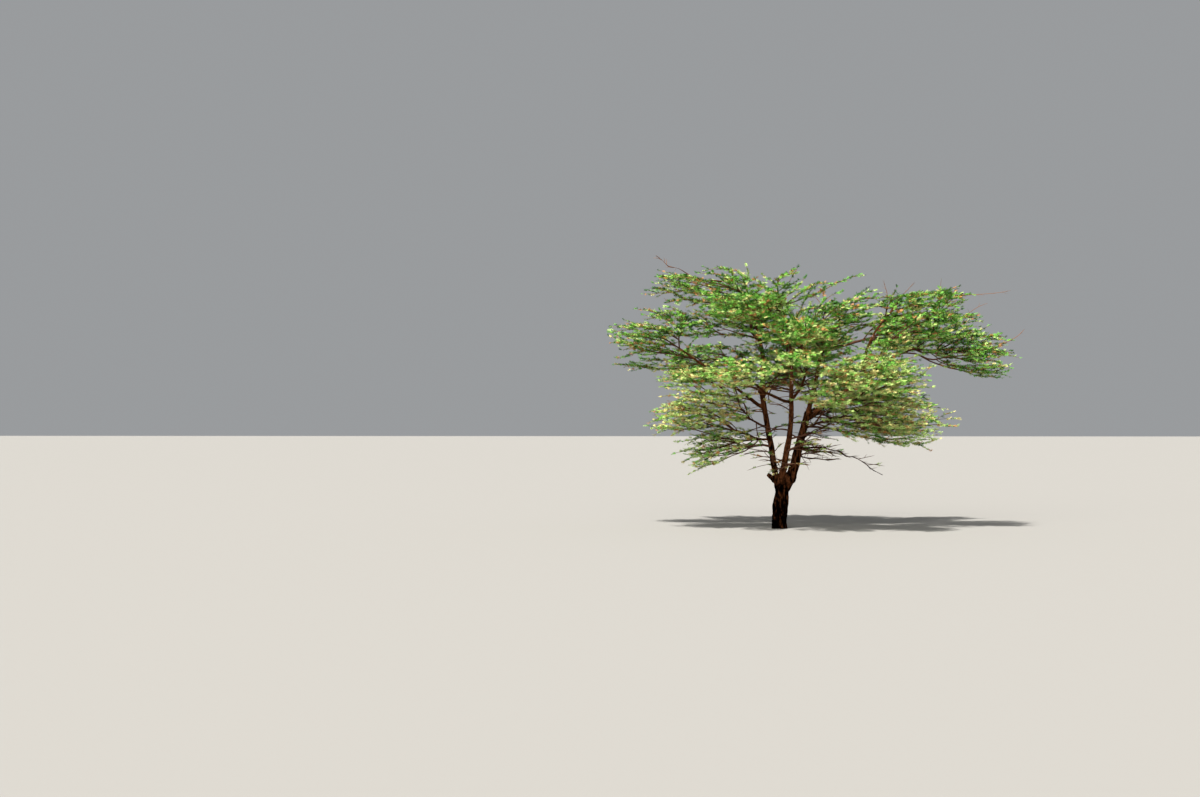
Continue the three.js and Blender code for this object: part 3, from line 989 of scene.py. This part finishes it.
def leaf_shape(pairs):
    """One leaf along +X, flat across Y, in triangles: pairs of leaflets along a midrib, and its tip."""
    long, wide = LEAFLET
    points, faces = [], []
    for pair in range(pairs):
        share = pair / (pairs - 1)
        at = LEAF_LENGTH * np.interp(share, (0, 1), LEAFLETS_ALONG)
        turn = math.radians(np.interp(share, (0, 1), LEAFLET_TURN))
        wave = math.sin(math.pi * np.interp(share, (0, 1), LEAFLET_WAVE))
        size = SMALL_LEAFLET + (1 - SMALL_LEAFLET) * wave
        for side in (-1, 1):
            tip = np.array((math.cos(turn), side * math.sin(turn), LEAFLET_RISE)) * long * size
            first = len(points)
            points += [(at - wide / 2, 0, 0), (at + wide / 2, 0, 0), tip + (at, 0, 0)]
            faces.append((first, first + 1, first + 2)[::side])
    first = len(points)
    last = LEAF_LENGTH * LEAFLETS_ALONG[1]
    points += [(last, -wide / 3, 0), (last, wide / 3, 0), (LEAF_LENGTH, 0, 0)]
    faces.append((first + 1, first, first + 2))
    return np.array(points, float), np.array(faces)


def leaf_stems(network, places, radius, random):
    """Where each leaf starts, the frame it lies in, and the node that it grows from."""
    nodes = np.flatnonzero((np.array(network.mass) != NONE) & (radius < LEAFY_RADIUS))
    starts = places[np.array(network.parent)[nodes]]
    steps = places[nodes] - starts
    lengths = np.linalg.norm(steps, axis=1)
    middles = ((starts + steps / 2) * CLUMPS).tolist()
    dense = np.clip([1 + CLUMP_STRENGTH * noise.noise(middle) for middle in middles], *CLUMP_LIMITS)
    counts = (lengths * dense / LEAF_STEP + random.random(len(nodes))).astype(int)
    rows = np.repeat(np.arange(len(nodes)), counts)
    base = starts[rows] + steps[rows] * random.random(len(rows))[:, None]
    ahead = unit(steps[rows])
    aside = unit(np.cross(ahead, UP)) * np.where(np.arange(len(rows)) % 2, 1, -1)[:, None]
    angle = np.radians(random.normal(*LEAF_ANGLE, len(rows)))[:, None]
    heading = ahead * np.cos(angle) + aside * np.sin(angle)
    heading = unit(heading + UP * random.normal(*LEAF_RISE, len(rows))[:, None])
    facing = UP + random.normal(0, TILT, (len(rows), 3))
    across = unit(np.cross(facing, heading))
    return base, heading, across, nodes[rows]


def spray_of(network, load):
    """For each node, the number of the spray that it is part of."""
    spray = np.arange(len(load))
    for i in range(len(load)):
        p = network.parent[i]
        if not network.wood[i] and not network.wood[p] and load[p] < SPRAY:
            spray[i] = spray[p]
    return spray


def place_tints(places, random):
    """A leaf colour for each place: yellower and lighter low and in front, as painted sunlight where the
    sun falls, and darker elsewhere as painted shade.
    """
    x, y, z = places.T
    low = fade(z, *SUNNY_LOW)
    middle = fade(abs(x - HUB[0]), *SUNNY_ACROSS)
    painted_sunlight = fade(y, *SUNNY_DEPTH) * fade(z, *SUNNY_HEIGHT) * np.maximum(low, middle)
    bright = SUN + (np.array(PAINTED_LOW_SUN) - SUN) * low[:, None]
    shares = PAINTED_SHADE + (bright - PAINTED_SHADE) * painted_sunlight[:, None]
    limits = np.cumsum(shares / shares.sum(1, keepdims=True), axis=1)
    return (random.random(len(places))[:, None] > limits[:, :-1]).sum(1)


def leaf_tints(network, places, load, random):
    """The colour of the leaves on each node: its spray's or its own, and rust here and there."""
    spray = spray_of(network, load)
    own_tint = place_tints(places, random)
    tint = place_tints(places[spray], random)[spray]
    tint = np.where(random.random(len(tint)) < ODD_LEAVES, own_tint, tint)
    return np.where(random.random(len(tint)) < RUSTY, len(LEAF_COLOURS) - 1, tint)


def leaf_copies(shape, base, heading, across, size):
    """Many copies of one leaf shape, each in its own frame."""
    points, faces = shape
    upward = np.cross(heading, across)
    frames = np.stack((heading, across, upward), axis=1) * size[:, None, None]
    placed = points @ frames + base[:, None]
    numbered = faces[None] + (np.arange(len(base)) * len(points))[:, None, None]
    return placed.reshape(-1, 3), numbered.reshape(-1, 3)


def groups_of_masses(faces):
    """The masses in groups of neighbours round the trunk, by how many faces each one's leaves have."""
    groups, room = [], 0
    for m in sorted(range(len(MASSES)), key=lambda m: math.atan2(MIDDLES[m][1], MIDDLES[m][0])):
        if faces[m] > room:
            groups.append([])
            room = PIECE_FACES
        groups[-1].append(m)
        room -= faces[m]
    return groups


def make_leaves(network, places, load, radius, tips_from, random):
    """Every leaf, in pieces of neighbouring masses that each stand for those masses."""
    base, heading, across, node = leaf_stems(network, places, radius, random)
    tint = leaf_tints(network, places, load, random)[node]
    size = random.uniform(*LEAF_SIZES, len(base)) * np.where(node < tips_from, 1, TIP_LEAF)
    kind = (random.random(len(base)) < MORE_PAIRS).astype(int)
    mass = np.array(network.mass)[node]
    shapes = [leaf_shape(pairs) for pairs in LEAF_PAIRS]
    faces = np.array([len(shape[1]) for shape in shapes])[kind]
    materials = [plain_material(name, colour, *LEAF_FINISH) for name, colour in LEAF_COLOURS.items()]
    for number, group in enumerate(groups_of_masses(np.bincount(mass, faces, len(MASSES))), 1):
        parts, tints = [], []
        for k, shape in enumerate(shapes):
            mine = np.isin(mass, group) & (kind == k)
            parts.append(leaf_copies(shape, base[mine], heading[mine], across[mine], size[mine]))
            tints.append(np.repeat(tint[mine], len(shape[1])))
        mesh = make_mesh(f"leaves_{number}", *join(parts))
        piece = make_piece(f"leaves_{number}", mesh, "foliage", *materials)
        mesh.polygons.foreach_set("material_index", np.concatenate(tints).astype(np.int32))
        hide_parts(*[MASSES[m] for m in group])


# Materials


def plain_material(name, colour, roughness, specular):
    """A material of one colour."""
    material = bpy.data.materials.new(name)
    material.use_nodes = True
    shader = material.node_tree.nodes["Principled BSDF"]
    shader.inputs["Base Color"].default_value = (*colour, 1)
    shader.inputs["Roughness"].default_value = roughness
    shader.inputs["Specular IOR Level"].default_value = specular
    return material


def bark_material(name, redness):
    """Near-black furrows, in part painted shade, and red-brown plates, in part painted sunlight, more of
    them from the fork up, and fine cracks.
    """
    material = plain_material(name, BARK_AND_SHADE_STOPS[0][1], *BARK_FINISH)
    nodes, links = material.node_tree.nodes, material.node_tree.links
    shader = nodes["Principled BSDF"]
    place = nodes.new("ShaderNodeTexCoord")
    stretched = nodes.new("ShaderNodeMapping")
    stretched.inputs["Scale"].default_value = (1, 1, 0.3)
    links.new(place.outputs["Object"], stretched.inputs["Vector"])
    blotches = nodes.new("ShaderNodeTexNoise")
    blotches.inputs["Scale"].default_value = 18
    blotches.inputs["Detail"].default_value = 6
    blotches.inputs["Roughness"].default_value = 0.65
    links.new(stretched.outputs["Vector"], blotches.inputs["Vector"])
    height = nodes.new("ShaderNodeSeparateXYZ")
    links.new(place.outputs["Object"], height.inputs["Vector"])
    # The plates come more often with height: painted sunlight on the limbs, painted shade on the trunk.
    painted_light_by_height = nodes.new("ShaderNodeMapRange")
    painted_light_by_height.inputs["From Min"].default_value = PAINTED_SUN_HEIGHTS[0]
    painted_light_by_height.inputs["From Max"].default_value = PAINTED_SUN_HEIGHTS[1]
    painted_light_by_height.inputs["To Min"].default_value = redness + PAINTED_SUN_BY_HEIGHT[0]
    painted_light_by_height.inputs["To Max"].default_value = redness + PAINTED_SUN_BY_HEIGHT[1]
    links.new(height.outputs["Z"], painted_light_by_height.inputs["Value"])
    both = nodes.new("ShaderNodeMath")
    links.new(blotches.outputs["Fac"], both.inputs[0])
    links.new(painted_light_by_height.outputs["Result"], both.inputs[1])
    ramp = nodes.new("ShaderNodeValToRGB")
    ramp.color_ramp.elements.new(0.5)
    for stop, (at, colour) in zip(ramp.color_ramp.elements, BARK_AND_SHADE_STOPS):
        stop.position = at
        stop.color = (*colour, 1)
    links.new(both.outputs["Value"], ramp.inputs["Fac"])
    links.new(ramp.outputs["Color"], shader.inputs["Base Color"])
    cracks = nodes.new("ShaderNodeTexVoronoi")
    cracks.feature = "DISTANCE_TO_EDGE"
    cracks.inputs["Scale"].default_value = 55
    links.new(place.outputs["Object"], cracks.inputs["Vector"])
    bump = nodes.new("ShaderNodeBump")
    bump.inputs["Strength"].default_value = 0.8
    bump.inputs["Distance"].default_value = 0.004
    links.new(cracks.outputs["Distance"], bump.inputs["Height"])
    links.new(bump.outputs["Normal"], shader.inputs["Normal"])
    return material


# Stage


def make_camera():
    """The photograph's view."""
    camera = bpy.data.objects.new("camera", bpy.data.cameras.new("camera"))
    camera.data.lens = LENS
    camera.data.clip_end = SEES_TO
    camera.location = EYE
    camera.rotation_euler = (math.pi / 2 + PITCH, 0, YAW)
    bpy.context.scene.collection.objects.link(camera)
    bpy.context.scene.camera = camera


def make_lights():
    """Soft daylight all round, the sun high on the left in front, and a soft fill from the front."""
    world = bpy.data.worlds.new("daylight")
    world.use_nodes = True
    sky = world.node_tree.nodes["Background"]
    sky.inputs["Color"].default_value = (*SKY_COLOUR, 1)
    sky.inputs["Strength"].default_value = SKY_STRENGTH
    bpy.context.scene.world = world
    bpy.context.scene.view_settings.view_transform = "Standard"
    for name, energy, spread, direction in LIGHTS:
        light = bpy.data.objects.new(name, bpy.data.lights.new(name, "SUN"))
        light.data.energy = energy
        light.data.angle = math.radians(spread)
        light.data.color = LIGHT_COLOUR
        light.rotation_euler = Vector(direction).to_track_quat("-Z", "Y").to_euler()
        bpy.context.scene.collection.objects.link(light)


def make_floor():
    """A plain pale floor, far wider than the tree."""
    corners = np.array([(-1, -1, 0), (1, -1, 0), (1, 1, 0), (-1, 1, 0)]) * FLOOR_REACH
    mesh = make_mesh("floor", corners, np.array([(0, 1, 2, 3)]))
    floor = bpy.data.objects.new("floor", mesh)
    bpy.context.scene.collection.objects.link(floor)
    mesh.materials.append(plain_material("floor", FLOOR_COLOUR, *FLOOR_FINISH))


def make_tree():
    """The skin of bark, then the network of twigs, and from it the twigs and the leaves."""
    random = np.random.default_rng(SEED)
    noise.seed_set(SEED)
    limbs = all_limbs()
    make_skin(limbs)
    network, first = wooden_network(limbs)
    fill_masses(network, limbs, first, random)
    tips_from = len(network.place)
    add_shoots(network, random)
    add_tips(network, random)
    bare_from = len(network.place)
    bare_branches(network, limbs, first, random)
    load, heaviest, radius = weigh(network)
    places = smoothed(network, heaviest)
    stout = np.where(np.arange(len(radius)) < bare_from, 1, BARE_STOUT) * radius
    make_twigs(network, places, heaviest, stout)
    make_leaves(network, places, load, radius, tips_from, random)


make_camera()
make_lights()
make_floor()
make_tree()
